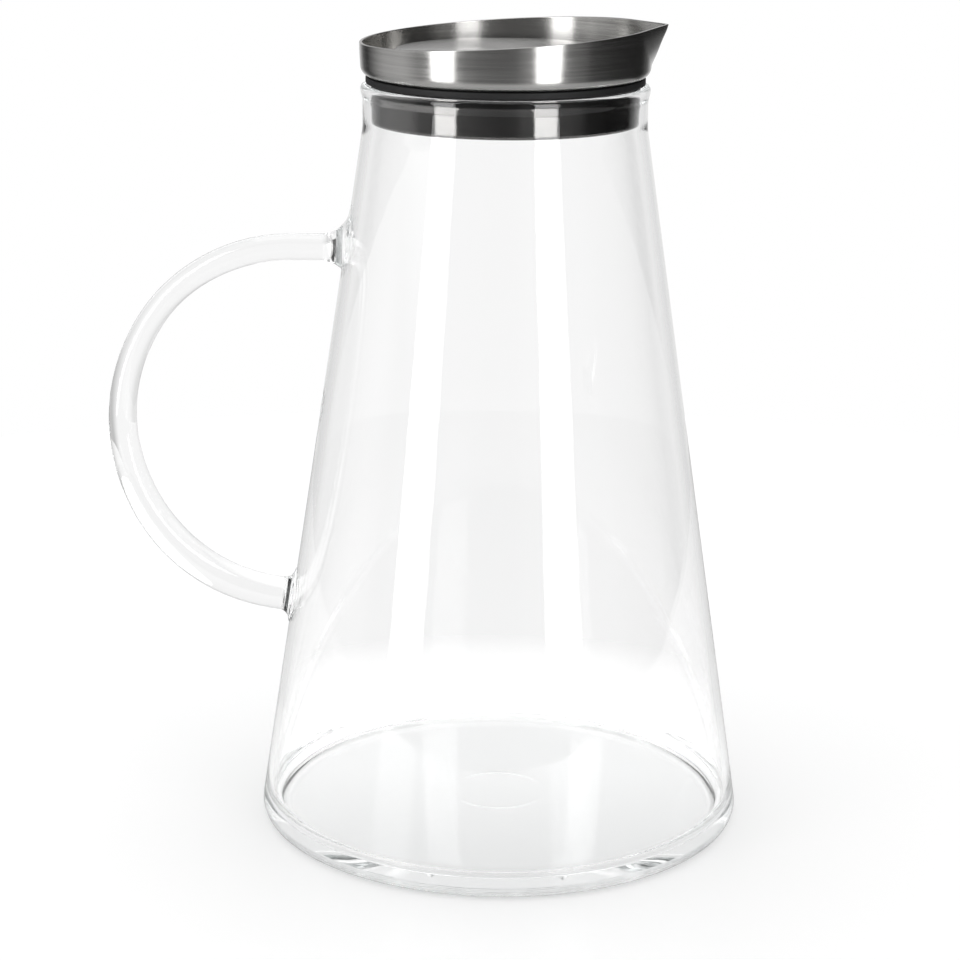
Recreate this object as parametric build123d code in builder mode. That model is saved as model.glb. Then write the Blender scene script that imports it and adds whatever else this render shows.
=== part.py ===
from build123d import *

import os
from math import acos, cos, degrees, radians, sin

# Glass pitcher with a steel flap lid. Millimetres, +Z up.
# The origin is the centre of the flat base, the handle points to -X and the pouring lip to +X.

# Glass body: a cone that runs into a short straight collar with a rounded rim bead
BASE_RADIUS = 74.0
WALL_TAPER = 0.1534        # radius lost for each millimetre of height
HEEL_RADIUS = 3.7
WALL = 2.33                # measured along the radius
FLOOR = 4.0
FLOOR_CORNER = 6.0
CONE_TOP = 211.0
COLLAR_RADIUS = 41.5
COLLAR_BLEND = 1.5
COLLAR_TOP = 219.2
BEAD_RADIUS = 42.1
RIM_TOP = 224.2
MARK_RADIUS = 14.2         # ring left in the middle of the floor by the mould
MARK_WIDTH = 1.6
MARK_HEIGHT = 0.2

# Handle: a round rod bent by hand to a loop, thicker towards its lower end, flared where it is fused on.
# The stations run evenly from the top of the loop to its lower end.
LOOP_CENTRE_X = -60.4
LOOP_CENTRE_Z = 121.6
LOOP_START = 90.0
LOOP_END = 262.0
LOOP_RADII = (54.05, 54.7, 54.9, 54.25, 53.75, 53.4, 53.6, 53.9, 53.8)
ROD_RADII = (4.0, 3.9, 3.75, 3.9, 4.15, 4.6, 5.0, 5.1, 5.05)
UPPER_RUN = 6.4            # straight rod between the loop and the upper flare
UPPER_FLARE = 8.7
LOWER_RUN = 0.8
LOWER_FLARE = 3.2
FLARE_ROOT = 3.0           # depth of each flare past its full width, trimmed by the wall

# Lid stack heights, from the neck up
SLEEVE_BOTTOM = 213.1
SEAT_BOTTOM = 214.5
NUT_BOTTOM = 216.0
GROOVE_BOTTOM = 222.65     # top face of the sleeve's flange
DISH_BOTTOM = 226.5
SHEET = 0.9                # drawn sheet of the dish
WASHER = 0.6
FLANGE = 1.0
SEAT_TOP = 230.1
GASKET_BOTTOM = 230.25
CARRIER_BOTTOM = 231.4
PLATE_BOTTOM = 232.9
PLATE_TOP = 233.9

# Rim seal: running gaps to the glass and to the lid keep it free to move
SEAL_RADIUS = 40.6
SEAL_SKIRT_RADIUS = 39.0
SEAL_BORE = 36.5
SEAL_EDGE = 0.4
SEAL_GAP = 0.15
RIM_GAP = 0.2

# Pouring dish: round wall drawn out to a pointed lip at +X under a slanted rim
DISH_CORNER = 3.0
DISH_WALL_BOTTOM_RADIUS = 42.1
LIP_SECTIONS = (           # height over the dish bottom, radius of the round wall, radius of the point
    (DISH_CORNER, DISH_WALL_BOTTOM_RADIUS, 42.15),
    (6.5, 42.3, 43.8),
    (10.5, 42.4, 45.4),
    (13.5, 42.4, 46.7),
    (17.0, 42.4, 47.6),
)
RIM_MID_Z = 238.65
RIM_SLOPE = 0.061

# Neck sleeve and clamping parts
SLEEVE_RADIUS = 38.9
SLEEVE_SHEET = 0.8
SLEEVE_LIP_RADIUS = 35.0
SLEEVE_TOP_CORNER = 1.0
SLEEVE_LOWER_CORNER = 2.0
SPACER_RADIUS = SEAL_BORE - SEAL_GAP
TUBE_RADIUS = 22.5
TUBE_BORE = 19.0
TUBE_CLEARANCE = 0.1
THREAD_CLEARANCE = 0.05
FLANGE_RADIUS = 30.2
WASHER_RADIUS = 29.6
NUT_RADIUS = 29.0
NUT_SCALLOPS = 12
SCALLOP_RADIUS = 3.2

# Flap and its hinge, on the handle side of the dish
PLATE_RADIUS = 32.1
PLATE_EDGE = 0.25
CARRIER_RADIUS = 24.3
GASKET_INNER = 19.8
GASKET_OUTER = 22.8
GASKET_EDGE = 0.5
PIN_X = -27.5
PIN_Z = 230.95
PIN_RADIUS = 0.8
PIN_CLEARANCE = 0.05
KNUCKLE_RADIUS = 1.6
KNUCKLE_HALF = 5.8
LUG_RADIUS = 1.55
LUG_INNER = 6.2
LUG_OUTER = 8.4
ARM_END_X = -23.0

SLEEVE_SHELF = GROOVE_BOTTOM - SLEEVE_SHEET
DISH_FLOOR = DISH_BOTTOM + SHEET
FLANGE_BOTTOM = DISH_FLOOR + WASHER
FLANGE_TOP = FLANGE_BOTTOM + FLANGE
STACK_HOLE = TUBE_RADIUS + TUBE_CLEARANCE

os.makedirs("parts", exist_ok=True)


def cone_radius(z):
    """Outer radius of the tapered glass wall at height z."""
    return BASE_RADIUS - WALL_TAPER * z


def ring(inner, outer, bottom, top):
    """Plain flat ring, added to the current part."""
    with BuildSketch(Plane.XY.offset(bottom)) as section:
        Circle(outer)
        Circle(inner, mode=Mode.SUBTRACT)
    extrude(section.sketch, amount=top - bottom)


def lip_outline(height, radius, tip):
    """Circle at a height, drawn out to a point at +X by two lines tangent to it."""
    spread = degrees(acos(radius / tip))
    with BuildSketch(Plane.XY.offset(height)) as outline:
        with BuildLine():
            round_side = CenterArc((0, 0), radius, spread, 360 - 2 * spread)
            Line(round_side @ 1, (tip, 0))
            Line((tip, 0), round_side @ 0)
        make_face()
    return outline.sketch


def bowl(inset, mode):
    """Dish form, inset by the sheet's thickness for its inside."""
    corner = DISH_CORNER - inset
    base = DISH_BOTTOM + inset
    corner_start = DISH_WALL_BOTTOM_RADIUS - DISH_CORNER
    with BuildSketch(Plane.XZ) as lower_section:
        with BuildLine():
            floor = Line((0, base), (corner_start, base))
            turn = TangentArc(floor @ 1, (corner_start + corner, base + corner), tangent=(1, 0))
            Polyline(turn @ 1, (0, base + corner), (0, base))
        make_face()
    revolve(lower_section.sketch, axis=Axis.Z, mode=mode)
    outlines = []
    for height, radius, tip in LIP_SECTIONS:
        inner_radius = radius - inset
        outlines.append(lip_outline(DISH_BOTTOM + height, inner_radius, tip * inner_radius / radius))
    loft(outlines, mode=mode)


# Glass body
with BuildPart() as glass_body:
    with BuildSketch(Plane.XZ) as wall_section:
        with BuildLine():
            cone_top = (cone_radius(CONE_TOP), CONE_TOP)
            base_line = Line((0, 0), (BASE_RADIUS, 0))
            Line(base_line @ 1, cone_top)
            Line(cone_top, (COLLAR_RADIUS, CONE_TOP + COLLAR_BLEND))
            collar = Line((COLLAR_RADIUS, CONE_TOP + COLLAR_BLEND), (COLLAR_RADIUS, COLLAR_TOP))
            neck_bore = cone_radius(CONE_TOP) - WALL
            rim_round = (BEAD_RADIUS - neck_bore) / 2
            bead_top = (BEAD_RADIUS, RIM_TOP - rim_round)
            swell_middle = ((COLLAR_RADIUS + BEAD_RADIUS) / 2, (COLLAR_TOP + RIM_TOP - rim_round) / 2)
            swell = TangentArc(collar @ 1, swell_middle, tangent=(0, 1))
            TangentArc(swell @ 1, bead_top, tangent=swell % 1)
            crest = ThreePointArc(
                bead_top,
                (neck_bore + rim_round, RIM_TOP),
                (neck_bore, RIM_TOP - rim_round),
            )
            bore = Line(crest @ 1, (neck_bore, CONE_TOP))
            floor_corner = (cone_radius(FLOOR) - WALL, FLOOR)
            Line(bore @ 1, floor_corner)
            mark_outer = (MARK_RADIUS + MARK_WIDTH / 2, FLOOR)
            mark_inner = (MARK_RADIUS - MARK_WIDTH / 2, FLOOR)
            Line(floor_corner, mark_outer)
            ThreePointArc(mark_outer, (MARK_RADIUS, FLOOR + MARK_HEIGHT), mark_inner)
            Polyline(mark_inner, (0, FLOOR), (0, 0))
        make_face()
        fillet(wall_section.vertices().sort_by_distance((BASE_RADIUS, 0, 0))[0], HEEL_RADIUS)
        fillet(wall_section.vertices().sort_by_distance(floor_corner + (0,))[0], FLOOR_CORNER)
    revolve(axis=Axis.Z)
glass_body.part.label = "glass_body"
export_step(glass_body.part, "parts/glass_body.step")


# Handle
def loop_point(angle, loop_radius):
    """Point of the rod's centre line at an angle counted from +X towards +Z."""
    turn = radians(angle)
    return Vector(LOOP_CENTRE_X + loop_radius * cos(turn), 0, LOOP_CENTRE_Z + loop_radius * sin(turn))


def loop_heading(angle):
    """Direction of the rod at an angle, from its upper end to its lower end."""
    turn = radians(angle)
    return Vector(-sin(turn), 0, cos(turn))


def flared_end(start, heading, rod_radius, run, flare):
    """Straight run of the rod that opens in a trumpet towards the wall."""
    across = Vector(0, 1, 0)
    with BuildSketch(Plane(origin=start, x_dir=across, z_dir=across.cross(heading))) as section:
        with BuildLine():
            Polyline((0, 0), (rod_radius, 0), (rod_radius, run))
            trumpet = RadiusArc((rod_radius, run), (rod_radius + flare, run + flare), flare)
            Polyline(
                trumpet @ 1,
                (rod_radius + flare, run + flare + FLARE_ROOT),
                (0, run + flare + FLARE_ROOT),
                (0, 0),
            )
        make_face()
    revolve(section.sketch, axis=Axis(start, heading))


with BuildPart() as handle:
    station_step = (LOOP_END - LOOP_START) / (len(ROD_RADII) - 1)
    for index, (loop_radius, rod_radius) in enumerate(zip(LOOP_RADII, ROD_RADII)):
        angle = LOOP_START + index * station_step
        centre = loop_point(angle, loop_radius)
        with BuildSketch(Plane(origin=centre, x_dir=(0, 1, 0), z_dir=loop_heading(angle))):
            Circle(rod_radius)
    loft()
    upper_end = loop_point(LOOP_START, LOOP_RADII[0])
    lower_end = loop_point(LOOP_END, LOOP_RADII[-1])
    flared_end(upper_end, -loop_heading(LOOP_START), ROD_RADII[0], UPPER_RUN, UPPER_FLARE)
    flared_end(lower_end, loop_heading(LOOP_END), ROD_RADII[-1], LOWER_RUN, LOWER_FLARE)
    Cone(
        BASE_RADIUS,
        cone_radius(CONE_TOP),
        CONE_TOP,
        align=(Align.CENTER, Align.CENTER, Align.MIN),
        mode=Mode.SUBTRACT,
    )
handle.part.label = "handle"
export_step(handle.part, "parts/handle.step")

# Rim seal
with BuildPart() as rim_seal:
    with BuildSketch(Plane.XZ) as seal_section:
        with BuildLine():
            Polyline(
                (SEAL_BORE, GROOVE_BOTTOM + SEAL_GAP),
                (SEAL_SKIRT_RADIUS, GROOVE_BOTTOM + SEAL_GAP),
                (SEAL_SKIRT_RADIUS, RIM_TOP + RIM_GAP),
                (SEAL_RADIUS, RIM_TOP + RIM_GAP),
                (SEAL_RADIUS, DISH_BOTTOM - SEAL_GAP),
                (SEAL_BORE, DISH_BOTTOM - SEAL_GAP),
                close=True,
            )
        make_face()
        fillet(seal_section.vertices().group_by(Axis.X)[-1], SEAL_EDGE)
    revolve(axis=Axis.Z)
rim_seal.part.label = "rim_seal"
export_step(rim_seal.part, "parts/rim_seal.step")

# Pouring dish
with BuildPart() as pour_dish:
    bowl(0, Mode.ADD)
    bowl(SHEET, Mode.SUBTRACT)
    split(bisect_by=Plane(origin=(0, 0, RIM_MID_Z), z_dir=(-RIM_SLOPE, 0, 1)), keep=Keep.BOTTOM)
    with BuildSketch(Plane.XY.offset(DISH_BOTTOM)):
        Circle(STACK_HOLE)
    extrude(amount=SHEET, mode=Mode.SUBTRACT)
pour_dish.part.label = "pour_dish"
export_step(pour_dish.part, "parts/pour_dish.step")

# Washer under the valve seat's flange
with BuildPart() as dish_washer:
    ring(STACK_HOLE, WASHER_RADIUS, DISH_FLOOR, FLANGE_BOTTOM)
dish_washer.part.label = "dish_washer"
export_step(dish_washer.part, "parts/dish_washer.step")

# Spacer that forms the bottom of the seal's groove
with BuildPart() as seal_spacer:
    ring(STACK_HOLE, SPACER_RADIUS, GROOVE_BOTTOM, DISH_BOTTOM)
seal_spacer.part.label = "seal_spacer"
export_step(seal_spacer.part, "parts/seal_spacer.step")

# Neck sleeve: a drawn cap, open below, with its lower edge rolled inwards
with BuildPart() as neck_sleeve:
    with BuildSketch(Plane.XZ):
        with BuildLine() as sleeve_line:
            mid_top = GROOVE_BOTTOM - SLEEVE_SHEET / 2
            mid_bottom = SLEEVE_BOTTOM + SLEEVE_SHEET / 2
            mid_radius = SLEEVE_RADIUS - SLEEVE_SHEET / 2
            FilletPolyline(
                (STACK_HOLE, mid_top),
                (mid_radius, mid_top),
                (mid_radius, mid_bottom),
                (SLEEVE_LIP_RADIUS, mid_bottom),
                radius=[SLEEVE_TOP_CORNER, SLEEVE_LOWER_CORNER],
            )
        trace(line_width=SLEEVE_SHEET)
    revolve(axis=Axis.Z)
neck_sleeve.part.label = "neck_sleeve"
export_step(neck_sleeve.part, "parts/neck_sleeve.step")

# Clamp nut with finger scallops
with BuildPart() as clamp_nut:
    ring(TUBE_RADIUS + THREAD_CLEARANCE, NUT_RADIUS, NUT_BOTTOM, SLEEVE_SHELF)
    with BuildSketch(Plane.XY.offset(NUT_BOTTOM)):
        with PolarLocations(NUT_RADIUS + SCALLOP_RADIUS / 2, NUT_SCALLOPS):
            Circle(SCALLOP_RADIUS)
    extrude(amount=SLEEVE_SHELF - NUT_BOTTOM, mode=Mode.SUBTRACT)
clamp_nut.part.label = "clamp_nut"
export_step(clamp_nut.part, "parts/clamp_nut.step")

# Valve seat: tube, flange and hinge lugs
with BuildPart() as valve_seat:
    ring(TUBE_BORE, TUBE_RADIUS, SEAT_BOTTOM, SEAT_TOP)
    ring(TUBE_BORE, FLANGE_RADIUS, FLANGE_BOTTOM, FLANGE_TOP)
    with BuildSketch(Plane.XZ.offset(LUG_INNER)):
        with Locations((PIN_X, PIN_Z)):
            Circle(LUG_RADIUS)
        with Locations((PIN_X, FLANGE_TOP)):
            Rectangle(2 * LUG_RADIUS, PIN_Z - FLANGE_TOP, align=(Align.CENTER, Align.MIN))
        with Locations((PIN_X, PIN_Z)):
            Circle(PIN_RADIUS, mode=Mode.SUBTRACT)
    lug = extrude(amount=LUG_OUTER - LUG_INNER)
    mirror(lug, about=Plane.XZ)
valve_seat.part.label = "valve_seat"
export_step(valve_seat.part, "parts/valve_seat.step")

# Hinge pin, held in the lugs
with BuildPart() as hinge_pin:
    with BuildSketch(Plane.XZ):
        with Locations((PIN_X, PIN_Z)):
            Circle(PIN_RADIUS)
    extrude(amount=LUG_OUTER, both=True)
hinge_pin.part.label = "hinge_pin"
export_step(hinge_pin.part, "parts/hinge_pin.step")

# Flap plate
with BuildPart() as flap_plate:
    with BuildSketch(Plane.XY.offset(PLATE_BOTTOM)):
        Circle(PLATE_RADIUS)
    extrude(amount=PLATE_TOP - PLATE_BOTTOM)
    fillet(flap_plate.edges().filter_by(GeomType.CIRCLE), PLATE_EDGE)
flap_plate.part.label = "flap_plate"
export_step(flap_plate.part, "parts/flap_plate.step")

# Flap carrier with the hinge knuckle
with BuildPart() as flap_carrier:
    with BuildSketch(Plane.XY.offset(CARRIER_BOTTOM)):
        Circle(CARRIER_RADIUS)
    extrude(amount=PLATE_BOTTOM - CARRIER_BOTTOM)
    with BuildSketch(Plane.XZ):
        with Locations((PIN_X, PIN_Z)):
            Circle(KNUCKLE_RADIUS)
        with Locations((PIN_X, PIN_Z)):
            Rectangle(ARM_END_X - PIN_X, PLATE_BOTTOM - PIN_Z, align=(Align.MIN, Align.MIN))
    extrude(amount=KNUCKLE_HALF, both=True)
    with BuildSketch(Plane.XZ):
        with Locations((PIN_X, PIN_Z)):
            Circle(PIN_RADIUS + PIN_CLEARANCE)
    extrude(amount=KNUCKLE_HALF, both=True, mode=Mode.SUBTRACT)
flap_carrier.part.label = "flap_carrier"
export_step(flap_carrier.part, "parts/flap_carrier.step")

# Flap gasket
with BuildPart() as flap_gasket:
    ring(GASKET_INNER, GASKET_OUTER, GASKET_BOTTOM, CARRIER_BOTTOM)
    fillet(flap_gasket.faces().sort_by(Axis.Z)[0].edges(), GASKET_EDGE)
flap_gasket.part.label = "flap_gasket"
export_step(flap_gasket.part, "parts/flap_gasket.step")

pieces = (
    glass_body, handle, rim_seal, pour_dish, dish_washer, seal_spacer, neck_sleeve,
    clamp_nut, valve_seat, hinge_pin, flap_plate, flap_carrier, flap_gasket,
)
for piece in pieces:
    print(f"{piece.part.label}: {piece.part.volume:.0f} mm3, {len(piece.part.solids())} solid")
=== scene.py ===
# %% [markdown]
# # A glass pitcher with a steel flap lid
# The pitcher is a tapered borosilicate jug with a glass rod handle. A steel lid sits in its neck: a
# pouring dish with a flap plate, a sleeve that reaches down into the neck, and a black silicone seal
# between the steel and the glass. The CAD model fixes every size and every joint. This lesson gives the
# pieces their fine shapes and finishes, and puts them in a small studio.

from math import acos, atan, cos, degrees, hypot, pi, radians, sin, sqrt

import bmesh
import bpy
from mathutils import Matrix, Vector


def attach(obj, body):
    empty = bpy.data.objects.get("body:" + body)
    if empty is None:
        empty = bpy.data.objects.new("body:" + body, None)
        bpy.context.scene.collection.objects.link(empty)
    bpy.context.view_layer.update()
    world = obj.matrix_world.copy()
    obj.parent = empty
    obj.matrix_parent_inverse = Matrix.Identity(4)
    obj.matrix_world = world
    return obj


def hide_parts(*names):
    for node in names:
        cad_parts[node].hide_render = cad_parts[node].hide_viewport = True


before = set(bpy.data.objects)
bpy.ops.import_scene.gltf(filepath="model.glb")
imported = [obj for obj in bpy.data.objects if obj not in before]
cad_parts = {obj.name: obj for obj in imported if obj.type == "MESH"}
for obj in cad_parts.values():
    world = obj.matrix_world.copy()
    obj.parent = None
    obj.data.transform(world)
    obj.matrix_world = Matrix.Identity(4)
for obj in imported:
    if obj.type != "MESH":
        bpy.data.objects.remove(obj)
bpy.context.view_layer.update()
print("nodes:", len(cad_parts))

# %% [markdown]
# ## The camera
# The photograph was taken with a long lens from a little above the lid, so the sides of the jug hardly
# converge and the rim of the dish shows as a thin ellipse. A camera can be dragged into place by eye.
# Here its place was worked out from points whose size is known, so it is written down as numbers: where
# it stands, how far it looks down and how far it is rolled.

# %% Place the camera
SENSOR_MM = 36
LENS_MM = 95.774
CAMERA_STAND = (-0.00656, -0.74396, 0.31491)
LOOK_DOWN = 15.789
CAMERA_ROLL = 0.423

scene = bpy.context.scene
camera = bpy.data.objects.new("camera", bpy.data.cameras.new("camera"))
scene.collection.objects.link(camera)
camera.data.sensor_width = SENSOR_MM
camera.data.lens = LENS_MM
stand = Matrix.Translation(CAMERA_STAND)
look_down = Matrix.Rotation(radians(90 - LOOK_DOWN), 4, "X")
roll = Matrix.Rotation(radians(CAMERA_ROLL), 4, "Z")
camera.matrix_world = stand @ look_down @ roll
scene.camera = camera
print("camera height:", round(camera.matrix_world.translation.z, 3), "m")

# %% [markdown]
# ## Turned shapes
# Most pieces of the pitcher are round about one upright axis, as if turned on a lathe. Blender can turn
# a curve with its Screw modifier. Writing the rings directly keeps full control of where the points
# lie, and smooth glass needs many of them, because every flat spot shows as a kink in what is seen
# through it.

# %% Lathe helpers
MM = 0.001


def arc(centre, radius, start, end, steps=10):
    """Points of an arc in the profile plane, with angles in degrees from outwards towards upwards."""
    turns = [radians(start + (end - start) * i / steps) for i in range(steps + 1)]
    return [(centre[0] + radius * cos(a), centre[1] + radius * sin(a)) for a in turns]


def straight(start, end, steps):
    """Evenly spaced points between two profile points, without the two ends."""
    shares = [i / steps for i in range(1, steps)]
    return [(start[0] + (end[0] - start[0]) * s, start[1] + (end[1] - start[1]) * s) for s in shares]


def smooth_piece(name, points, faces, crease=35):
    """Mesh object from points in millimetres, smooth except along edges sharper than the crease angle."""
    mesh = bpy.data.meshes.new(name)
    mesh.from_pydata([Vector(p) * MM for p in points], [], faces)
    surface = bmesh.new()
    surface.from_mesh(mesh)
    bmesh.ops.recalc_face_normals(surface, faces=surface.faces)
    surface.to_mesh(mesh)
    surface.free()
    mesh.shade_smooth()
    mesh.set_sharp_from_angle(angle=radians(crease))
    piece = bpy.data.objects.new(name, mesh)
    scene.collection.objects.link(piece)
    return piece


def skin(rows, closed_rows):
    """Faces between neighbouring rows of point numbers, with a corner less where a row is one point."""
    faces = []
    pairs = list(zip(rows, rows[1:]))
    if closed_rows:
        pairs.append((rows[-1], rows[0]))
    for row, following in pairs:
        for i in range(len(row)):
            j = (i + 1) % len(row)
            face = tuple(dict.fromkeys((row[i], row[j], following[j], following[i])))
            if len(face) > 2:
                faces.append(face)
    return faces


def lathe(name, profile, segments=256, closed=True):
    """Turn a profile of (radius, height) pairs about the pitcher's axis."""
    points = []
    rows = []
    for radius, height in profile:
        first = len(points)
        if radius == 0:
            points.append((0, 0, height))
            rows.append([first] * segments)
            continue
        for i in range(segments):
            a = 2 * pi * i / segments
            points.append((radius * cos(a), radius * sin(a), height))
        rows.append(list(range(first, first + segments)))
    return smooth_piece(name, points, skin(rows, closed))


# %% [markdown]
# ## The glass jug
# The jug is mould-blown: a straight cone with a thin wall, a thick flat base with a rounded heel, a
# short upright collar at the neck and a rim that was melted round with a flame. One profile runs up the
# outside, over the rim and down the inside, so the wall has both its faces and light bends twice on its
# way through.

# %% Turn the jug
BASE_RADIUS = 74.0
WALL_TAPER = 0.1534
WALL = 2.33
FLOOR = 4.0
HEEL_RADIUS = 3.7
FLOOR_CORNER = 6.0
CONE_TOP = 211.0
COLLAR_RADIUS = 41.5
COLLAR_START = 212.5
COLLAR_TOP = 219.2
BEAD_RADIUS = 42.1
RIM_TOP = 224.2
MARK_RADIUS = 14.2
MARK_WIDTH = 2.0
MARK_HEIGHT = 0.07
SOFT_STEPS = 12
BEND_STEPS = 14
RIM_STEPS = 20
FLOOR_STEPS = 12
WALL_STEPS = 80
NECK_STEPS = 8
SHORT_STEPS = 4

slant = atan(WALL_TAPER)


def wall_radius(height):
    """Outer radius of the tapered wall."""
    return BASE_RADIUS - WALL_TAPER * height


heel_centre = (wall_radius(HEEL_RADIUS) - HEEL_RADIUS / cos(slant), HEEL_RADIUS)
heel = arc(heel_centre, HEEL_RADIUS, -90, degrees(slant), BEND_STEPS)
neck_bore = wall_radius(CONE_TOP) - WALL
rim_round = (BEAD_RADIUS - neck_bore) / 2
bead_top = RIM_TOP - rim_round
swell = []
for i in range(SOFT_STEPS + 1):
    share = i / SOFT_STEPS
    bulge = (BEAD_RADIUS - COLLAR_RADIUS) * (1 - cos(pi * share)) / 2
    swell.append((COLLAR_RADIUS + bulge, COLLAR_TOP + (bead_top - COLLAR_TOP) * share))
rim = arc((neck_bore + rim_round, bead_top), rim_round, 0, 180, RIM_STEPS)
corner_height = FLOOR + FLOOR_CORNER
corner_centre = (wall_radius(corner_height) - WALL - FLOOR_CORNER / cos(slant), corner_height)
corner = arc(corner_centre, FLOOR_CORNER, degrees(slant), -90, BEND_STEPS)
mark = []
for i in range(SOFT_STEPS + 1):
    share = i / SOFT_STEPS
    mark.append((MARK_RADIUS + MARK_WIDTH * (0.5 - share), FLOOR + MARK_HEIGHT * sin(pi * share) ** 2))

outer_cone = (wall_radius(CONE_TOP), CONE_TOP)
inner_cone = (neck_bore, CONE_TOP)
collar = (COLLAR_RADIUS, COLLAR_START)
outside = [(0, 0)] + straight((0, 0), heel[0], FLOOR_STEPS) + heel
outside += straight(heel[-1], outer_cone, WALL_STEPS) + [outer_cone, collar]
outside += straight(collar, swell[0], SHORT_STEPS) + swell
inside = rim[1:] + straight(rim[-1], inner_cone, NECK_STEPS) + [inner_cone]
inside += straight(inner_cone, corner[0], WALL_STEPS) + corner
inside += straight(corner[-1], mark[0], NECK_STEPS) + mark
inside += straight(mark[-1], (0, FLOOR), SHORT_STEPS) + [(0, FLOOR)]
jug = lathe("glass_jug", outside + inside, closed=False)
print("jug:", len(jug.data.vertices), "points")

# %% [markdown]
# ## The handle
# The handle is a solid glass rod, bent hot to a loop by hand and pressed onto the jug while both were
# soft. It is a little thicker towards its lower end, and both ends spread where they meet the wall. A
# curve with a round bevel would give the rod but not its spread ends, so the rod is skinned ring by
# ring. Each end stops half way into the wall, and a Boolean union then melts rod and jug into one body
# of glass: two touching bodies would leave a mirror-like film between them.

# %% Bend the rod
LOOP_CENTRE = (-60.4, 121.6)
LOOP_START = 90.0
LOOP_END = 262.0
LOOP_RADII = (54.05, 54.7, 54.9, 54.25, 53.75, 53.4, 53.6, 53.9, 53.8)
ROD_RADII = (4.0, 3.9, 3.75, 3.9, 4.15, 4.6, 5.0, 5.1, 5.05)
UPPER_END = (6.4, 8.7)
LOWER_END = (0.8, 3.2)
ROD_SIDES = 64
HALVINGS = 30


def through(stations, values, at):
    """Smooth curve through the values at the stations, read at one place."""
    last = len(stations) - 2
    k = min(max(sum(1 for s in stations if s <= at) - 1, 0), last)
    width = stations[k + 1] - stations[k]
    slopes = []
    for i in (k, k + 1):
        low = max(i - 1, 0)
        high = min(i + 1, last + 1)
        slopes.append((values[high] - values[low]) / (stations[high] - stations[low]) * width)
    t = (at - stations[k]) / width
    rise = values[k + 1] - values[k]
    bow = 3 * rise - 2 * slopes[0] - slopes[1]
    twist = slopes[0] + slopes[1] - 2 * rise
    return values[k] + t * (slopes[0] + t * (bow + t * twist))


def ring_around(centre, heading, radius):
    """Circle of points about a heading in the plane of the loop."""
    across = Vector((0, 1, 0))
    up = across.cross(heading)
    turns = [2 * pi * i / ROD_SIDES for i in range(ROD_SIDES)]
    return [centre + radius * (cos(a) * across + sin(a) * up) for a in turns]


def spread_end(start, heading, radius, run, flare, steps=28):
    """Rings of a rod end that opens like a trumpet, each line of it stopped half way into the wall."""
    def width_at(t):
        past = min(max(t - run, 0), flare)
        return radius + flare - sqrt(flare * flare - past * past)

    def point_at(t, i):
        return ring_around(start + t * heading, heading, width_at(t))[i]

    def in_glass(p):
        return hypot(p.x, p.y) < wall_radius(p.z) - WALL / 2

    lengths = []
    for i in range(ROD_SIDES):
        low = 0.0
        high = run + 2 * flare
        for _ in range(HALVINGS):
            middle = (low + high) / 2
            if in_glass(point_at(middle, i)):
                high = middle
            else:
                low = middle
        lengths.append(low)
    return [[point_at(lengths[i] * k / steps, i) for i in range(ROD_SIDES)] for k in range(1, steps + 1)]


ROD_STEPS = 120
spans = len(LOOP_RADII) - 1
stations = [LOOP_START + (LOOP_END - LOOP_START) * i / spans for i in range(spans + 1)]
rod_rings = []
for i in range(ROD_STEPS + 1):
    angle = LOOP_START + (LOOP_END - LOOP_START) * i / ROD_STEPS
    reach = through(stations, LOOP_RADII, angle)
    turn = radians(angle)
    centre = Vector((LOOP_CENTRE[0] + reach * cos(turn), 0, LOOP_CENTRE[1] + reach * sin(turn)))
    heading = Vector((-sin(turn), 0, cos(turn)))
    rod_rings.append(ring_around(centre, heading, through(stations, ROD_RADII, angle)))
    if i == 0:
        upper_rings = spread_end(centre, -heading, ROD_RADII[0], *UPPER_END)
        upper_rings = [[ring[-k] for k in range(ROD_SIDES)] for ring in upper_rings]
lower_rings = spread_end(centre, heading, ROD_RADII[-1], *LOWER_END)
rod_rings = upper_rings[::-1] + rod_rings + lower_rings
print("rod:", len(rod_rings), "rings")

# %% Melt the rod onto the jug
WELD_CREASE = 60

rod_points = []
rod_rows = []
for ring in rod_rings:
    rod_rows.append(list(range(len(rod_points), len(rod_points) + ROD_SIDES)))
    rod_points += ring
for row in (rod_rows[0], rod_rows[-1]):
    middle = sum((rod_points[n] for n in row), Vector()) / ROD_SIDES
    rod_points.append(middle)
rod_rows.insert(0, [len(rod_points) - 2] * ROD_SIDES)
rod_rows.append([len(rod_points) - 1] * ROD_SIDES)
rod = smooth_piece("rod", rod_points, skin(rod_rows, False))

melt = jug.modifiers.new("melt", "BOOLEAN")
melt.operation = "UNION"
melt.solver = "EXACT"
melt.object = rod
melted = bpy.data.meshes.new_from_object(jug.evaluated_get(bpy.context.evaluated_depsgraph_get()))
jug.modifiers.clear()
jug.data = melted
bpy.data.objects.remove(rod)
jug.data.shade_smooth()
jug.data.set_sharp_from_angle(angle=radians(WELD_CREASE))
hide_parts("glass_body", "handle")
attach(jug, "pitcher")
print("jug with handle:", len(jug.data.vertices), "points")

# %% [markdown]
# ## The pouring dish
# The dish is pressed from one steel sheet: a flat floor with a hole for the valve, a tight bend, and a
# wall whose rim slants up to a pointed lip. Seen from above, the lip is two straight lines that leave
# the round wall without a kink and meet in a point. The same few widths as in the CAD model are joined
# by a smooth curve over the height, and the sheet gets its two faces and a softly broken rim.

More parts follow.
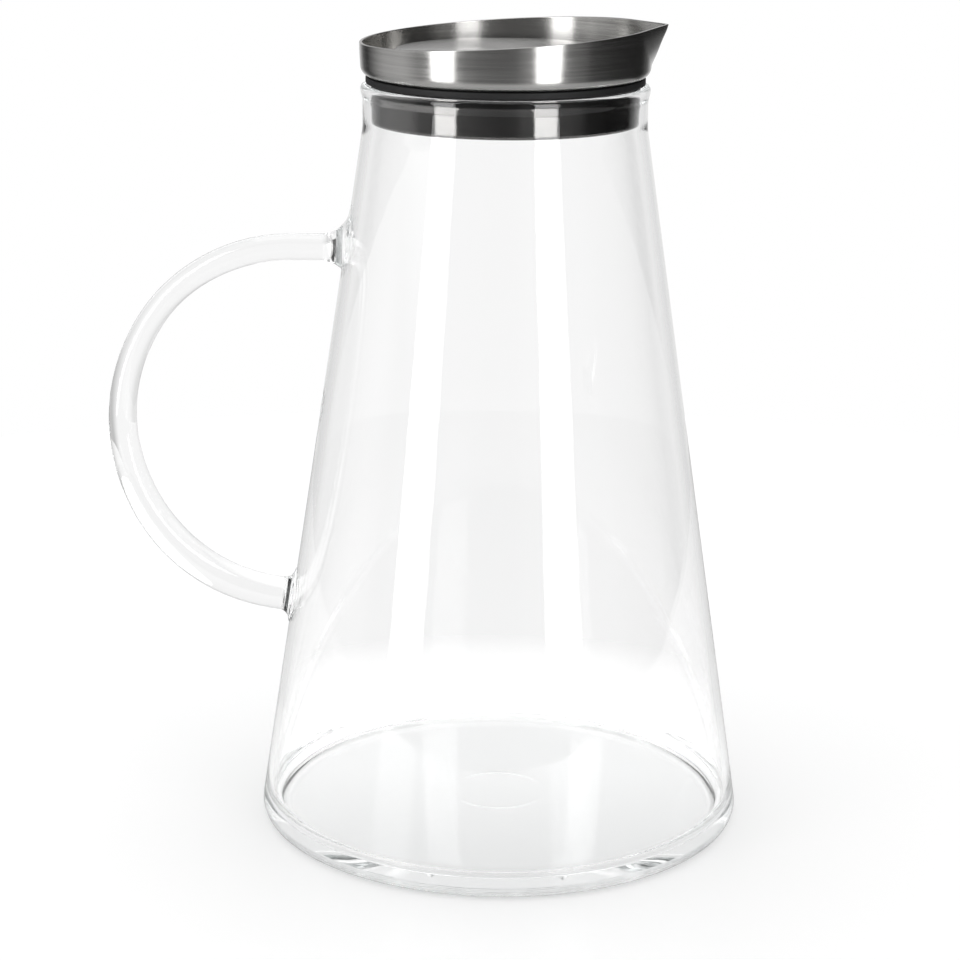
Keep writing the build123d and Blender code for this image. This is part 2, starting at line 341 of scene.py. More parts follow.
# %% Press the dish
DISH_BOTTOM = 226.5
SHEET = 0.9
DISH_CORNER = 3.0
DISH_WALL_RADIUS = 42.1
LIP_HEIGHTS = (3.0, 6.5, 10.5, 13.5, 17.0)
ROUND_RADII = (42.1, 42.3, 42.4, 42.4, 42.4)
LIP_RADII = (42.15, 43.8, 45.4, 46.7, 47.6)
RIM_MID = 238.65
RIM_SLOPE = 0.061
STACK_HOLE = 22.6
LIP_NOSE = 0.012
RIM_BREAK = 0.16
RIM_CROWN = ((0.06, -0.05), (0.2, 0.0), (0.5, 0.0), (0.8, 0.0), (0.94, -0.05))
RIM_ROUNDS = 6


def dish_radius(angle, height, inset):
    """Radius of the dish wall at an angle from the lip and a height over the dish bottom."""
    wall = through(LIP_HEIGHTS, ROUND_RADII, height)
    spread = acos(min(wall / through(LIP_HEIGHTS, LIP_RADII, height), 1))
    past = max(spread - hypot(angle, LIP_NOSE), 0)
    return (wall - inset) / cos(past)


def dish_line(angle, inset, steps=36):
    """Wall line at one angle, from the bend up to the slanted rim."""
    top = RIM_MID - DISH_BOTTOM
    for _ in range(RIM_ROUNDS):
        reach = dish_radius(angle, top, inset)
        top = RIM_MID - DISH_BOTTOM + RIM_SLOPE * reach * cos(angle)
    heights = [DISH_CORNER + (top - DISH_CORNER) * i / steps for i in range(steps + 1)]
    return [(dish_radius(angle, h, inset), DISH_BOTTOM + h) for h in heights]


def dish_profile(angle):
    """Closed sheet section at one angle: floor, bend and wall inside, rim, then back down outside."""
    bend_radius = DISH_WALL_RADIUS - DISH_CORNER
    bend_centre = (bend_radius, DISH_BOTTOM + DISH_CORNER)
    inner_line = dish_line(angle, SHEET)
    outer_line = dish_line(angle, 0)
    inner_bend = arc(bend_centre, DISH_CORNER - SHEET, -90, 0, 10)[:-1]
    outer_bend = arc(bend_centre, DISH_CORNER, 0, -90, 12)[1:]
    inner_floor = [(STACK_HOLE, DISH_BOTTOM + SHEET)]
    inner_floor += straight(inner_floor[0], inner_bend[0], 10)
    outer_floor = straight(outer_bend[-1], (STACK_HOLE, DISH_BOTTOM), 10) + [(STACK_HOLE, DISH_BOTTOM)]
    rim_inner = Vector(inner_line[-1])
    rim_outer = Vector(outer_line[-1])
    crown = [rim_inner.lerp(rim_outer, s) + Vector((0, d)) for s, d in RIM_CROWN]
    inner_top = inner_line[:-1] + [rim_inner + Vector((0, -RIM_BREAK))]
    outer_top = [rim_outer + Vector((0, -RIM_BREAK))] + outer_line[-2::-1]
    return inner_floor + inner_bend + inner_top + crown + outer_top + outer_bend + outer_floor


# More points near the lip: the cubed share moves slowly there.
DISH_SEGMENTS = 480
LIP_SHARE = 0.55
DISH_CREASE = 50

dish_points = []
dish_rows = []
for i in range(DISH_SEGMENTS):
    share = 2 * i / DISH_SEGMENTS - 1
    angle = pi * ((1 - LIP_SHARE) * share + LIP_SHARE * share ** 3)
    dish_rows.append([])
    for radius, height in dish_profile(angle):
        dish_rows[-1].append(len(dish_points))
        dish_points.append((radius * cos(angle), radius * sin(angle), height))
dish = smooth_piece("steel_dish", dish_points, skin(dish_rows, True), DISH_CREASE)
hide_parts("pour_dish")
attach(dish, "lid")
print("dish:", len(dish.data.vertices), "points")

# %% [markdown]
# ## The neck sleeve and the rim seal
# The sleeve is a shallow steel cap, turned upside down: it centres the lid in the neck, and its lower
# edge is rolled inwards so that it slides in without scratching the glass. The seal is a silicone ring
# with a rounded edge. Both are plain turned shapes, so the lathe helper makes them.

# %% Turn the sleeve and the seal
SLEEVE_TOP = 222.65
SLEEVE_BOTTOM = 213.1
SLEEVE_RADIUS = 38.9
SLEEVE_SHEET = 0.8
SLEEVE_LIP_RADIUS = 35.0
SLEEVE_SHOULDER = 1.4
# Tighter than in the CAD model, as the photograph shows it.
SLEEVE_ROLL = 1.0

shoulder = (SLEEVE_RADIUS - SLEEVE_SHOULDER, SLEEVE_TOP - SLEEVE_SHOULDER)
roll_centre = (SLEEVE_RADIUS - SLEEVE_ROLL, SLEEVE_BOTTOM + SLEEVE_ROLL)
edge_round = SLEEVE_SHEET / 2
outer_top = arc(shoulder, SLEEVE_SHOULDER, 90, 0, 10)
outer_roll = arc(roll_centre, SLEEVE_ROLL, 0, -90, 16)
inner_roll = arc(roll_centre, SLEEVE_ROLL - SLEEVE_SHEET, -90, 0, 12)
inner_top = arc(shoulder, SLEEVE_SHOULDER - SLEEVE_SHEET, 0, 90, 8)
lip_edge = arc((SLEEVE_LIP_RADIUS + edge_round, SLEEVE_BOTTOM + edge_round), edge_round, -90, -270, 8)
sleeve_profile = [(STACK_HOLE, SLEEVE_TOP)]
sleeve_profile += straight(sleeve_profile[0], outer_top[0], 6) + outer_top
sleeve_profile += straight(outer_top[-1], outer_roll[0], 8) + outer_roll + lip_edge + inner_roll
sleeve_profile += straight(inner_roll[-1], inner_top[0], 8) + inner_top
sleeve_profile += straight(inner_top[-1], (STACK_HOLE, SLEEVE_TOP - SLEEVE_SHEET), 6)
sleeve_profile += [(STACK_HOLE, SLEEVE_TOP - SLEEVE_SHEET)]
sleeve = lathe("steel_sleeve", sleeve_profile)
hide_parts("neck_sleeve")
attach(sleeve, "lid")

SEAL_BOTTOM = 222.8
SEAL_STEP = 224.4
SEAL_TOP = 226.35
SEAL_RADIUS = 40.6
SKIRT_RADIUS = 39.0
SEAL_BORE = 36.5
SEAL_EDGE = 0.4
SKIRT_BEVEL = 0.3

seal_profile = [(SEAL_BORE, SEAL_BOTTOM), (SKIRT_RADIUS - SKIRT_BEVEL, SEAL_BOTTOM)]
seal_profile += [(SKIRT_RADIUS, SEAL_BOTTOM + SKIRT_BEVEL), (SKIRT_RADIUS, SEAL_STEP)]
seal_profile += arc((SEAL_RADIUS - SEAL_EDGE, SEAL_STEP + SEAL_EDGE), SEAL_EDGE, -90, 0, 8)
seal_profile += arc((SEAL_RADIUS - SEAL_EDGE, SEAL_TOP - SEAL_EDGE), SEAL_EDGE, 0, 90, 8)
seal_profile += [(SEAL_BORE, SEAL_TOP)]
seal = lathe("silicone_seal", seal_profile)
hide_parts("rim_seal")
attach(seal, "seal")
print("sleeve and seal:", len(sleeve.data.vertices), len(seal.data.vertices), "points")

# %% [markdown]
# ## Tools for finishes
# A finish is a small tree of shader nodes. Colours are written as sRGB hex values, as a paint chart
# gives them, and shaders want linear light, so one function converts them. One more function adds a
# node with its settings and links. Everything else in a finish is then only a list of nodes.

# %% Finish helpers
def linear(hex_colour):
    """sRGB hex colour as linear red, green, blue and alpha."""
    channels = [int(hex_colour[i:i + 2], 16) / 255 for i in (1, 3, 5)]
    return [c / 12.92 if c <= 0.04045 else ((c + 0.055) / 1.055) ** 2.4 for c in channels] + [1]


def add(tree, kind, inputs, **settings):
    """Add a node, give it its settings, and fill or link its inputs by name or number."""
    node = tree.nodes.new(kind)
    for key, value in settings.items():
        setattr(node, key, value)
    for key, value in inputs.items():
        if isinstance(value, bpy.types.NodeSocket):
            tree.links.new(value, node.inputs[key])
        else:
            node.inputs[key].default_value = value
    return node


def new_finish(name):
    """Empty material and its node tree, with only an output node."""
    finish = bpy.data.materials.new(name)
    finish.use_nodes = True
    finish.node_tree.nodes.clear()
    return finish, finish.node_tree, finish.node_tree.nodes.new("ShaderNodeOutputMaterial")


def wear(finish, *pieces):
    """Give a finish to pieces, in place of what they had."""
    for piece in pieces:
        piece.data.materials.clear()
        piece.data.materials.append(finish)


# %% [markdown]
# ## Borosilicate glass, blown and fire-polished
# Borosilicate bends light a little less than window glass, and its surface was never touched by a tool
# after the flame, so it is perfectly smooth, with long soft waves from blowing. The mass has a faint
# grey tint that only shows where one looks along the wall, at the outline and in the heel, so the tint
# is an absorption in the volume. Lamps reach through glass in real life, so shadow rays see a clear
# shader instead.

# %% Glass
WAVE_MM = 28
WAVE_DEPTH = 0.4 * MM

glass, tree, output = new_finish("borosilicate_glass_fire_polished")
place = add(tree, "ShaderNodeTexCoord", {})
waves = add(tree, "ShaderNodeTexNoise", {
    "Vector": place.outputs["Object"], "Scale": 1000 / WAVE_MM, "Detail": 1})
soft_waves = add(tree, "ShaderNodeBump", {
    "Height": waves.outputs["Fac"], "Strength": 0.25, "Distance": WAVE_DEPTH})
clear = add(tree, "ShaderNodeBsdfPrincipled", {
    "Base Color": linear("#ffffff"), "Roughness": 0, "IOR": 1.47, "Transmission Weight": 1,
    "Normal": soft_waves.outputs["Normal"]})
let_through = add(tree, "ShaderNodeBsdfTransparent", {"Color": linear("#fafbfb")})
path = add(tree, "ShaderNodeLightPath", {})
surface = add(tree, "ShaderNodeMixShader", {
    0: path.outputs["Is Shadow Ray"], 1: clear.outputs[0], 2: let_through.outputs[0]})
tint = add(tree, "ShaderNodeVolumeAbsorption", {"Color": linear("#dfe1e1"), "Density": 4})
tree.links.new(surface.outputs[0], output.inputs["Surface"])
tree.links.new(tint.outputs[0], output.inputs["Volume"])
wear(glass, jug)
print(glass.name, len(tree.nodes), "nodes")

# %% [markdown]
# ## Stainless steel, brushed round and round
# The dish and the plate are brushed while they spin, so the scratches run around the axis. Each scratch
# is a tiny groove: it spreads a highlight across the scratches and keeps it narrow along them. That is
# what the anisotropic shader does, with its tangent running around the axis. A noise that is stretched
# along the scratches varies the roughness and gives the fine lines. Real scratches are under 0.1 mm
# wide, too fine to show here, so they are drawn wider.

# %% Steel
NOISE_MIDDLE = (0.3, 0.7)
GROOVE_DEPTH = 0.03 * MM
LINE_SHADE = 0.86


def spun_steel(name, hex_colour, line_mm, roughness, grooves):
    """Steel with scratches around the axis: their width, the roughness range and their depth."""
    finish, tree, output = new_finish(name)
    place = add(tree, "ShaderNodeTexCoord", {})
    split = add(tree, "ShaderNodeSeparateXYZ", {0: place.outputs["Object"]})
    flat = add(tree, "ShaderNodeCombineXYZ", {"X": split.outputs["X"], "Y": split.outputs["Y"]})
    around = add(tree, "ShaderNodeVectorMath", {0: flat.outputs[0]}, operation="NORMALIZE")
    reach = add(tree, "ShaderNodeVectorMath", {0: flat.outputs[0]}, operation="LENGTH")
    across = add(tree, "ShaderNodeMath", {
        0: reach.outputs["Value"], 1: split.outputs["Z"]}, operation="ADD")
    line = add(tree, "ShaderNodeMath", {0: across.outputs[0], 1: 1000 / line_mm}, operation="MULTIPLY")
    steer = add(tree, "ShaderNodeSeparateXYZ", {0: around.outputs[0]})
    grain = add(tree, "ShaderNodeCombineXYZ", {
        "X": steer.outputs["X"], "Y": steer.outputs["Y"], "Z": line.outputs[0]})
    scratch = add(tree, "ShaderNodeTexNoise", {"Vector": grain.outputs[0], "Scale": 1.0, "Detail": 3})
    shine = add(tree, "ShaderNodeMapRange", {
        "Value": scratch.outputs["Fac"], "From Min": NOISE_MIDDLE[0], "From Max": NOISE_MIDDLE[1],
        "To Min": roughness[0], "To Max": roughness[1]})
    shade = add(tree, "ShaderNodeValToRGB", {"Fac": scratch.outputs["Fac"]})
    shade.color_ramp.elements[0].position = 0.25
    shade.color_ramp.elements[0].color = [LINE_SHADE * c for c in linear(hex_colour)[:3]] + [1]
    shade.color_ramp.elements[1].position = 0.75
    shade.color_ramp.elements[1].color = linear(hex_colour)
    groove = add(tree, "ShaderNodeBump", {
        "Height": scratch.outputs["Fac"], "Strength": grooves, "Distance": GROOVE_DEPTH})
    along = add(tree, "ShaderNodeTangent", {}, direction_type="RADIAL", axis="Z")
    steel = add(tree, "ShaderNodeBsdfPrincipled", {
        "Base Color": shade.outputs["Color"], "Metallic": 1, "Roughness": shine.outputs["Result"],
        "Anisotropic": 0.85, "Anisotropic Rotation": 0.25, "Tangent": along.outputs[0],
        "Normal": groove.outputs["Normal"]})
    tree.links.new(steel.outputs[0], output.inputs["Surface"])
    return finish


brushed = spun_steel("stainless_steel_brushed", "#c4c3c1", 0.35, (0.2, 0.27), 0.04)
# The sleeve and the hinge pin get a much darker steel colour than the dish. That is painted shade for the
# dim neck behind the glass, not a colour of the steel.
turned_steel_painted_shade = spun_steel("stainless_steel_fine_turned_painted_shade", "#6a6968", 0.75, (0.08, 0.13), 0.05)
wear(brushed, dish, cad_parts["flap_plate"])
wear(turned_steel_painted_shade, sleeve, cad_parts["hinge_pin"])
print(brushed.name, turned_steel_painted_shade.name)

# %% [markdown]
# ## Black silicone and black polypropylene
# The seal, the washer and the gasket are moulded silicone: dead black, soft, with a fine dusty surface
# that has no clear highlight. The valve parts inside the lid are injection-moulded polypropylene, which
# has a slight waxy shine and a fine spark-eroded grain from the mould.

# %% Silicone and polypropylene
def moulded(name, hex_colour, grain_mm, roughness, depth, ior):
    """Moulded black part with a fine grain."""
    finish, tree, output = new_finish(name)
    place = add(tree, "ShaderNodeTexCoord", {})
    grain = add(tree, "ShaderNodeTexNoise", {
        "Vector": place.outputs["Object"], "Scale": 1000 / grain_mm, "Detail": 2})
    shine = add(tree, "ShaderNodeMapRange", {
        "Value": grain.outputs["Fac"], "From Min": NOISE_MIDDLE[0], "From Max": NOISE_MIDDLE[1],
        "To Min": roughness[0], "To Max": roughness[1]})
    bumps = add(tree, "ShaderNodeBump", {
        "Height": grain.outputs["Fac"], "Strength": 0.3, "Distance": depth})
    skin_shader = add(tree, "ShaderNodeBsdfPrincipled", {
        "Base Color": linear(hex_colour), "Roughness": shine.outputs["Result"], "IOR": ior,
        "Normal": bumps.outputs["Normal"]})
    tree.links.new(skin_shader.outputs[0], output.inputs["Surface"])
    return finish


silicone = moulded("silicone_rubber_moulded", "#161617", 0.5, (0.5, 0.68), 0.03 * MM, 1.41)
polypropylene = moulded("polypropylene_moulded", "#232425", 0.7, (0.38, 0.5), 0.04 * MM, 1.49)
wear(silicone, seal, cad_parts["dish_washer"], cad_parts["flap_gasket"])
valve_pieces = ("seal_spacer", "clamp_nut", "valve_seat", "flap_carrier")
wear(polypropylene, *[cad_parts[name] for name in valve_pieces])
print(silicone.name, polypropylene.name)

# %% [markdown]
# ## The white floor
# A product picture wants a plain white floor that still carries the soft shadow under the glass. A
# floor that is only lit turns grey between the lamps, and stronger lamps would wash out the pitcher. So
# the floor glows a little for rays that come from the camera or through the glass, and not for the
# light that it throws on the pitcher. It glows more at the back, where less lamp light falls, and under
# the thick base.

# %% Floor
FLOOR_RADIUS = 0.5
FLOOR_SIDES = 96
FLOOR_DROP = 0.0001

floor_mesh = bpy.data.meshes.new("floor")
turns = [2 * pi * i / FLOOR_SIDES for i in range(FLOOR_SIDES)]
edge = [(FLOOR_RADIUS * cos(a), FLOOR_RADIUS * sin(a), -FLOOR_DROP) for a in turns]
floor_mesh.from_pydata(edge, [], [tuple(range(FLOOR_SIDES))])
floor = bpy.data.objects.new("floor", floor_mesh)
scene.collection.objects.link(floor)
print("floor:", 2 * FLOOR_RADIUS, "m wide")

# %% Floor paper
FLOOR_SPAN = (-0.1, 0.3)
FLOOR_GLOW = (0.322, 0.48)
BASE_SPAN = (-0.06, 0.02)
BASE_GLOW = (0.17, 0.36)

paper, tree, output = new_finish("white_paper_coated")
path = add(tree, "ShaderNodeLightPath", {})
place = add(tree, "ShaderNodeTexCoord", {})
split = add(tree, "ShaderNodeSeparateXYZ", {0: place.outputs["Object"]})
even = add(tree, "ShaderNodeMapRange", {
    "Value": split.outputs["Y"], "From Min": FLOOR_SPAN[0], "From Max": FLOOR_SPAN[1],
    "To Min": FLOOR_GLOW[0], "To Max": FLOOR_GLOW[1]})
under_base = add(tree, "ShaderNodeMapRange", {
    "Value": split.outputs["Y"], "From Min": BASE_SPAN[0], "From Max": BASE_SPAN[1],
    "To Min": BASE_GLOW[0], "To Max": BASE_GLOW[1]})
lifted = add(tree, "ShaderNodeMath", {
    0: even.outputs["Result"], 1: under_base.outputs["Result"]}, operation="ADD")
direct = add(tree, "ShaderNodeMath", {
    0: path.outputs["Is Camera Ray"], 1: even.outputs["Result"]}, operation="MULTIPLY")
through_base = add(tree, "ShaderNodeMath", {
    0: path.outputs["Is Transmission Ray"], 1: lifted.outputs[0]}, operation="MULTIPLY")
glow = add(tree, "ShaderNodeMath", {
    0: direct.outputs[0], 1: through_base.outputs[0]}, operation="MAXIMUM")
lit = add(tree, "ShaderNodeBsdfPrincipled", {
    "Base Color": linear("#d4d4d4"), "Roughness": 0.3, "Specular IOR Level": 0.3,
    "Emission Color": linear("#ffffff"), "Emission Strength": glow.outputs[0]})
print(paper.name, len(tree.nodes), "nodes so far")

# %% [markdown]
# ## The floor behind the glass
# Away from the base, the floor that shows through the glass is one even white, so that no horizon shows
# inside the jug. The rod of the handle bends rays far aside, and for those that it throws to the right
# the floor shows grey instead of white. This is a painted dark reflection, which draws a grey line along
# the outside of the loop. The Light Path node counts the glass surfaces that a ray has crossed, and so
# tells the rod from the jug: two for the rod alone, six for the rod and then both walls of the jug.

# %% Paper behind the glass
GLASS_WHITE = 0.965
# Painted dark reflection: the grey that the floor shows only to rays that the rod bends to the right.
ROD_PAINTED_GREY = 0.5
GREY_SPAN = (-0.06, 0.1)
AWAY_SPAN = (0.08, 0.16)

crossings = path.outputs["Transmission Depth"]
mirrored = add(tree, "ShaderNodeMath", {
    0: path.outputs["Glossy Depth"], 1: 0.5}, operation="GREATER_THAN")
two = add(tree, "ShaderNodeMath", {0: crossings, 1: 2, 2: 0.5}, operation="COMPARE")
six = add(tree, "ShaderNodeMath", {0: crossings, 1: 6, 2: 0.5}, operation="COMPARE")
any_rod = add(tree, "ShaderNodeMath", {0: two.outputs[0], 1: six.outputs[0]}, operation="MAXIMUM")
# Greater than: a ray of the rod counts only where nothing mirrored it.
rod_ray = add(tree, "ShaderNodeMath", {
    0: any_rod.outputs[0], 1: mirrored.outputs[0]}, operation="GREATER_THAN")
right_side = add(tree, "ShaderNodeMapRange", {
    "Value": split.outputs["X"], "From Min": GREY_SPAN[0], "From Max": GREY_SPAN[1]})
painted_rod_line = add(tree, "ShaderNodeMath", {
    0: rod_ray.outputs[0], 1: right_side.outputs["Result"]}, operation="MULTIPLY")
shade = add(tree, "ShaderNodeMapRange", {
    "Value": painted_rod_line.outputs[0], "To Min": GLASS_WHITE, "To Max": ROD_PAINTED_GREY})
even_white = add(tree, "ShaderNodeEmission", {
    "Color": linear("#ffffff"), "Strength": shade.outputs["Result"]})
reach = add(tree, "ShaderNodeVectorMath", {0: place.outputs["Object"]}, operation="LENGTH")
away = add(tree, "ShaderNodeMapRange", {
    "Value": reach.outputs["Value"], "From Min": AWAY_SPAN[0], "From Max": AWAY_SPAN[1]})
behind_glass = add(tree, "ShaderNodeMath", {
    0: path.outputs["Is Transmission Ray"], 1: away.outputs["Result"]}, operation="MULTIPLY")
shown = add(tree, "ShaderNodeMixShader", {
    0: behind_glass.outputs[0], 1: lit.outputs[0], 2: even_white.outputs[0]})
tree.links.new(shown.outputs[0], output.inputs["Surface"])
wear(paper, floor)
print(paper.name, len(tree.nodes), "nodes")

# %% [markdown]
# ## What the steel and the glass see
# Polished things show the room around them, so the room matters more than the lamps. Its brightness is
# a ramp over the compass bearing, in degrees from the camera towards the right: white behind the
# pitcher, a grey panel on the left, dim behind the camera and nearly black on the right. Over the
# horizon the backdrop is greyer, and higher up the room is dark below a pale ceiling. The panel on the
# left is brighter above the horizon, which lights the inside of the dish. A whole room could be
# modelled for this. A ramp in the world is quicker, and each stop of it shows as one stripe on the
# steel.

# %% Room by bearing
BRIGHTNESS = (
    (-180, 0.85), (-171, 0.85), (-160, 0.5), (-152, 0.14), (-140, 0.03), (-130, 0.2),
    (-112, 0.52), (-88, 0.6), (-81, 0.47), (-74, 0.27), (-35, 0.22), (-20, 0.16),
    (-5, 0.12), (8, 0.13), (14, 0.24), (52, 0.2), (64, 0.14), (71, 0.05),
    (95, 0.02), (135, 0.02), (150, 0.15), (158, 0.5), (171, 0.85), (180, 0.85),
)

world = bpy.data.worlds.new("studio")
scene.world = world
world.use_nodes = True
tree = world.node_tree
tree.nodes.clear()
output = tree.nodes.new("ShaderNodeOutputWorld")
place = add(tree, "ShaderNodeTexCoord", {})
split = add(tree, "ShaderNodeSeparateXYZ", {0: place.outputs["Generated"]})
front = add(tree, "ShaderNodeMath", {0: split.outputs["Y"], 1: -1}, operation="MULTIPLY")
bearing = add(tree, "ShaderNodeMath", {
    0: split.outputs["X"], 1: front.outputs[0]}, operation="ARCTAN2")
turn = add(tree, "ShaderNodeMapRange", {"Value": bearing.outputs[0], "From Min": -pi, "From Max": pi})
stripes = add(tree, "ShaderNodeValToRGB", {"Fac": turn.outputs["Result"]})
stops = stripes.color_ramp.elements
for i, (degrees_right, brightness) in enumerate(BRIGHTNESS):
    position = (degrees_right + 180) / 360
    stop = stops[i] if i < 2 else stops.new(position)
    stop.position = position
    stop.color = (brightness, brightness, brightness, 1)
print("room:", len(stops), "stops")

# %% Room by height
HORIZON_SPAN = (-0.05, 0.05)
HIGH_BACKDROP = 0.6
PANEL_TOP_SPAN = (0.42, 0.56)
DARK_SHARE = 0.25
LEFT_SPAN = (-0.7, -0.85)
LEFT_PANEL = 1.0
LEFT_PANEL_FOOT = (0, 0.1)
CEILING_SPAN = (0.75, 0.97)
# A Mix node has sockets for every kind of value: these are the numbers of the colour ones.
FIRST = 6
SECOND = 7
MIXED = 2

height = split.outputs["Z"]
over_horizon = add(tree, "ShaderNodeMapRange", {
    "Value": height, "From Min": HORIZON_SPAN[0], "From Max": HORIZON_SPAN[1],
    "To Min": 1, "To Max": HIGH_BACKDROP})
over_panels = add(tree, "ShaderNodeMapRange", {
    "Value": height, "From Min": PANEL_TOP_SPAN[0], "From Max": PANEL_TOP_SPAN[1],
    "To Min": 1, "To Max": DARK_SHARE})
limit = add(tree, "ShaderNodeMath", {
    0: over_horizon.outputs["Result"], 1: over_panels.outputs["Result"]}, operation="MULTIPLY")
low_room = add(tree, "ShaderNodeMath", {
    0: stripes.outputs["Color"], 1: limit.outputs[0]}, operation="MINIMUM")
left_side = add(tree, "ShaderNodeMapRange", {
    "Value": split.outputs["X"], "From Min": LEFT_SPAN[0], "From Max": LEFT_SPAN[1],
    "To Max": LEFT_PANEL})
raised = add(tree, "ShaderNodeMapRange", {
    "Value": height, "From Min": LEFT_PANEL_FOOT[0], "From Max": LEFT_PANEL_FOOT[1]})
left_panel = add(tree, "ShaderNodeMath", {
    0: left_side.outputs["Result"], 1: raised.outputs["Result"]}, operation="MULTIPLY")
walls = add(tree, "ShaderNodeMath", {
    0: low_room.outputs[0], 1: left_panel.outputs[0]}, operation="MAXIMUM")
upward = add(tree, "ShaderNodeMapRange", {
    "Value": height, "From Min": CEILING_SPAN[0], "From Max": CEILING_SPAN[1]})
room = add(tree, "ShaderNodeMix", {
    0: upward.outputs["Result"], FIRST: walls.outputs[0], SECOND: linear("#f4f4f4")}, data_type="RGBA")
print("room:", len(tree.nodes), "nodes")

# %% [markdown]
# ## Who sees the room, and who sees white
# Mirrored rays have to see the room. Rays that only pass the glass should see the white background,
# with a little of the room mixed in, and more of it where the rod bends them far aside. The counts of
# the Light Path node tell the cases apart: no glass crossed on bare steel, two surfaces for the inner
# face of the near wall, four for the sleeve behind that wall. Light that was mirrored more than once
# inside the glass runs along the wall or the rod, and stays white. Rays that come from matt surfaces
# get an even fill light.

# %% Mirrored rays
OUTLINE_SPAN = (-0.7, -0.5)
LEVEL_MIDDLE = 0.05
LEVEL_REACH = 0.4

path = add(tree, "ShaderNodeLightPath", {})
crossings = path.outputs["Transmission Depth"]
mirrors = path.outputs["Glossy Depth"]
mirrored = add(tree, "ShaderNodeMath", {0: mirrors, 1: 0.5}, operation="GREATER_THAN")
once = add(tree, "ShaderNodeMath", {0: mirrors, 1: 1, 2: 0.5}, operation="COMPARE")
none = add(tree, "ShaderNodeMath", {0: crossings, 1: 0, 2: 0.5}, operation="COMPARE")
two = add(tree, "ShaderNodeMath", {0: crossings, 1: 2, 2: 0.5}, operation="COMPARE")
four = add(tree, "ShaderNodeMath", {0: crossings, 1: 4, 2: 0.5}, operation="COMPARE")
six = add(tree, "ShaderNodeMath", {0: crossings, 1: 6, 2: 0.5}, operation="COMPARE")
bare_mirror = add(tree, "ShaderNodeMath", {
    0: none.outputs[0], 1: mirrored.outputs[0]}, operation="MULTIPLY")
# At the outline the wall mirrors backwards, and in the heel steeply: those rays stay white.
forwards = add(tree, "ShaderNodeMapRange", {
    "Value": front.outputs[0], "From Min": OUTLINE_SPAN[0], "From Max": OUTLINE_SPAN[1]})
level = add(tree, "ShaderNodeMath", {0: height, 1: LEVEL_MIDDLE, 2: LEVEL_REACH}, operation="COMPARE")
near_wall = add(tree, "ShaderNodeMath", {
    0: two.outputs[0], 1: forwards.outputs["Result"]}, operation="MULTIPLY")
sleeve_ray = add(tree, "ShaderNodeMath", {
    0: four.outputs[0], 1: level.outputs[0]}, operation="MULTIPLY")
behind_wall = add(tree, "ShaderNodeMath", {
    0: near_wall.outputs[0], 1: sleeve_ray.outputs[0]}, operation="MAXIMUM")
wall_mirror = add(tree, "ShaderNodeMath", {
    0: behind_wall.outputs[0], 1: once.outputs[0]}, operation="MULTIPLY")
in_mirror = add(tree, "ShaderNodeMath", {
    0: bare_mirror.outputs[0], 1: wall_mirror.outputs[0]}, operation="MAXIMUM")
print("mirrored rays:", len(tree.nodes), "nodes")

# %% Rays that pass the glass
WALL_SHARE = 0.06
ROD_SHARE = 0.3
ROD_SPAN = (0.35, 0.75)
RIGHTWARDS = 0.4

passed = add(tree, "ShaderNodeMath", {0: crossings, 1: 0.5}, operation="GREATER_THAN")
in_wall = add(tree, "ShaderNodeMath", {0: passed.outputs[0], 1: WALL_SHARE}, operation="MULTIPLY")
rightwards = add(tree, "ShaderNodeMath", {
    0: split.outputs["X"], 1: RIGHTWARDS}, operation="GREATER_THAN")
rod_and_jug = add(tree, "ShaderNodeMath", {
    0: six.outputs[0], 1: rightwards.outputs[0]}, operation="MULTIPLY")
any_rod = add(tree, "ShaderNodeMath", {
    0: two.outputs[0], 1: rod_and_jug.outputs[0]}, operation="MAXIMUM")
rod_ray = add(tree, "ShaderNodeMath", {
    0: any_rod.outputs[0], 1: mirrored.outputs[0]}, operation="GREATER_THAN")
aside = add(tree, "ShaderNodeMath", {0: split.outputs["X"]}, operation="ABSOLUTE")
bent = add(tree, "ShaderNodeMapRange", {
    "Value": aside.outputs[0], "From Min": ROD_SPAN[0], "From Max": ROD_SPAN[1], "To Max": ROD_SHARE})
in_rod = add(tree, "ShaderNodeMath", {
    0: rod_ray.outputs[0], 1: bent.outputs["Result"]}, operation="MULTIPLY")
in_glass = add(tree, "ShaderNodeMath", {
    0: in_wall.outputs[0], 1: in_rod.outputs[0]}, operation="MAXIMUM")
print("rays through glass:", len(tree.nodes), "nodes")

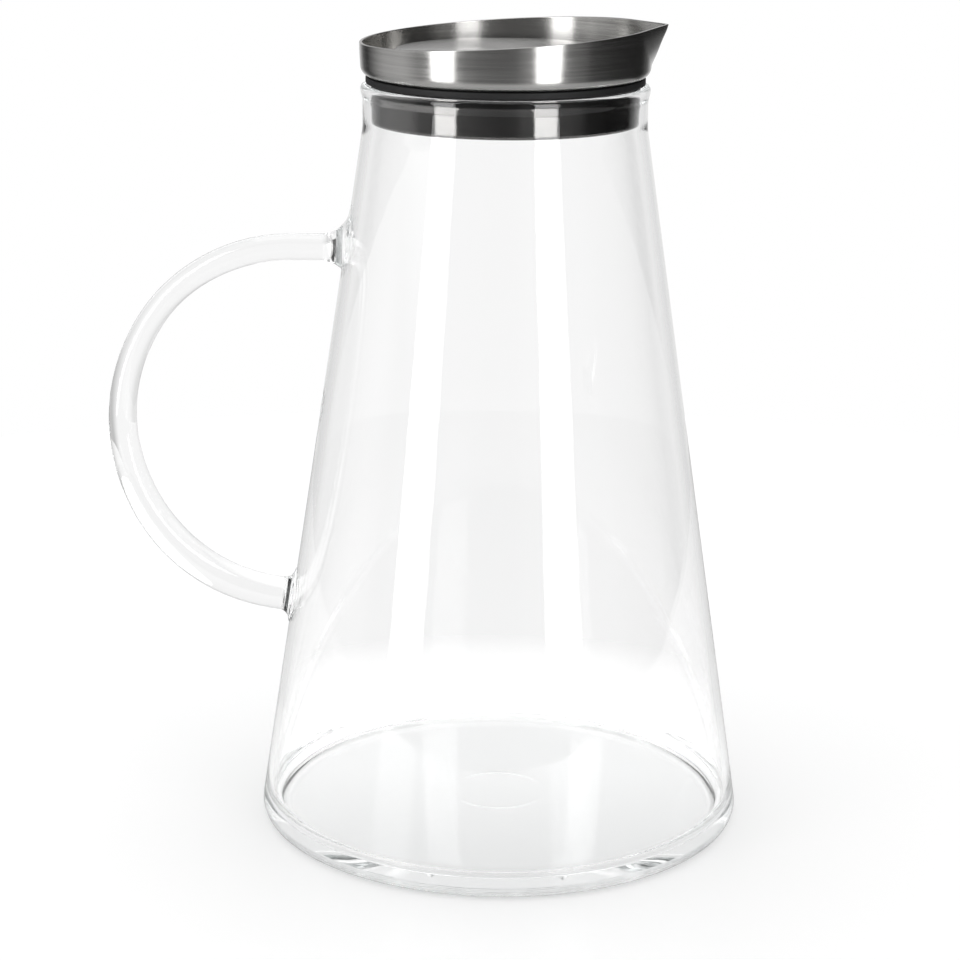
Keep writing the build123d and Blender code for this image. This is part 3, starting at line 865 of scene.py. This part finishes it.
# %% The whole world
room_share = add(tree, "ShaderNodeMath", {
    0: in_mirror.outputs[0], 1: in_glass.outputs[0]}, operation="MAXIMUM")
seen = add(tree, "ShaderNodeMath", {
    0: path.outputs["Is Camera Ray"], 1: path.outputs["Is Transmission Ray"]}, operation="MAXIMUM")
plain = add(tree, "ShaderNodeMix", {
    0: seen.outputs[0], FIRST: linear("#d2d2d2"), SECOND: linear("#ffffff")}, data_type="RGBA")
view = add(tree, "ShaderNodeMix", {
    0: room_share.outputs[0], FIRST: plain.outputs[MIXED], SECOND: room.outputs[MIXED]},
    data_type="RGBA")
sky = add(tree, "ShaderNodeBackground", {"Color": view.outputs[MIXED], "Strength": 1})
tree.links.new(sky.outputs[0], output.inputs["Surface"])
print("world:", len(tree.nodes), "nodes")

# %% [markdown]
# ## Three soft lamps
# Two tall strip lights stand left and right of the camera and draw the two bright columns on the steel.
# A large soft light hangs overhead. Their brightness is given as the eye sees it, and the power follows
# from the size of the lamp: a larger lamp of the same brightness gives more light and softer shadows.

# %% Lamps
AIM_HEIGHT = 0.24


def soft_light(name, bearing_deg, distance, height, size, radiance):
    """Rectangular lamp that faces the pitcher, with its brightness as the eye sees it."""
    lamp = bpy.data.lights.new(name, "AREA")
    lamp.shape = "RECTANGLE"
    lamp.size, lamp.size_y = size
    lamp.energy = radiance * pi * size[0] * size[1]
    stand = bpy.data.objects.new(name, lamp)
    a = radians(bearing_deg)
    stand.location = (distance * sin(a), -distance * cos(a), height)
    aim = Vector((0, 0, min(height, AIM_HEIGHT))) - stand.location
    stand.rotation_euler = aim.to_track_quat("-Z", "Y").to_euler()
    stand.visible_camera = False
    scene.collection.objects.link(stand)


soft_light("left_strip", -49.5, 0.6, 0.36, (0.21, 0.72), 4.2)
soft_light("right_strip", 32.3, 0.6, 0.36, (0.215, 0.72), 4.2)
soft_light("overhead", 180, 0.25, 1.4, (1.0, 1.0), 1.0)
print("lamps:", len(bpy.data.lights))

# %% [markdown]
# ## Light inside thick glass
# Light that gets into the heel or the rim can run along inside the wall and be mirrored a hundred times
# before it leaves, and with few bounces those places would turn black. The glass already lets the lamps
# through for shadow rays, so the slow search for light that it bends onto the floor is left out.

# %% Light paths
scene.cycles.max_bounces = 128
scene.cycles.glossy_bounces = 128
scene.cycles.transmission_bounces = 64
scene.cycles.caustics_reflective = False
scene.cycles.caustics_refractive = False
scene.view_settings.view_transform = "Standard"
print("bounces:", scene.cycles.max_bounces)
